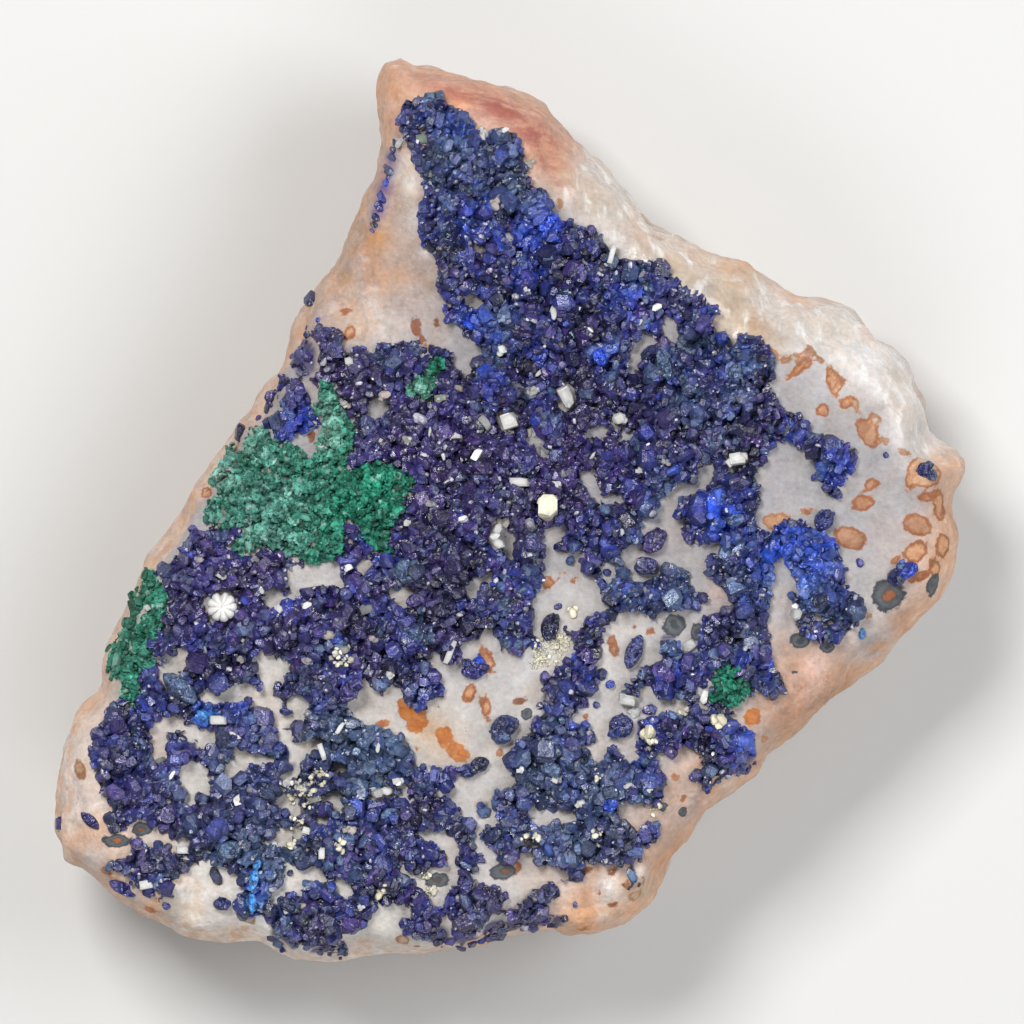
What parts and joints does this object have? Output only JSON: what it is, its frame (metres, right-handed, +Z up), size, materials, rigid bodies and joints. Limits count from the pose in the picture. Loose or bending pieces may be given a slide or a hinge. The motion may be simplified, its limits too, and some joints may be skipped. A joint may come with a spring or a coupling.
{
  "type": "azurite crystal specimen",
  "caption": "Slab of pale rock with a crust of deep-blue azurite crystals on its upper face, patches of green malachite and a few white calcite crystals; lies on its flat underside.",
  "frame": {"origin": "middle of the slab's outline, at the level of its flat underside", "axes": "+Z up out of the crystal face, +Y towards the slab's pointed tip, +X towards its nub"},
  "size_m": [0.0744, 0.0737, 0.0203],
  "materials": {
    "matrix": "matt pale rock, orange-stained at its border, glassy quartz along one side",
    "azurite": "glassy deep-blue crystals",
    "malachite": "matt green granular crust",
    "calcite": "satin white crystals"
  },
  "bodies": {
    "root": {"matrix": "matrix", "azurite_bay_lower": "azurite", "azurite_bay_streaked": "azurite", "azurite_bay_upper": "azurite", "azurite_centre_bright": "azurite", "azurite_centre_low": "azurite", "azurite_centre_plate": "azurite", "azurite_centre_ring": "azurite", "azurite_centre_slim": "azurite", "azurite_crust": "azurite", "azurite_left_border": "azurite", "azurite_lower_left": "azurite", "azurite_lower_small": "azurite", "azurite_nub": "azurite", "azurite_right_border": "azurite", "azurite_right_side": "azurite", "calcite_bay": "calcite", "calcite_centre_lower": "calcite", "calcite_lower_left": "calcite", "calcite_lower_patch": "calcite", "calcite_middle": "calcite", "calcite_right": "calcite", "calcite_rosette": "calcite", "calcite_square": "calcite", "calcite_upper": "calcite", "calcite_window": "calcite", "malachite_edge": "malachite", "malachite_main": "malachite", "malachite_top": "malachite", "malachite_tuft": "malachite"}
  },
  "joints": []
}
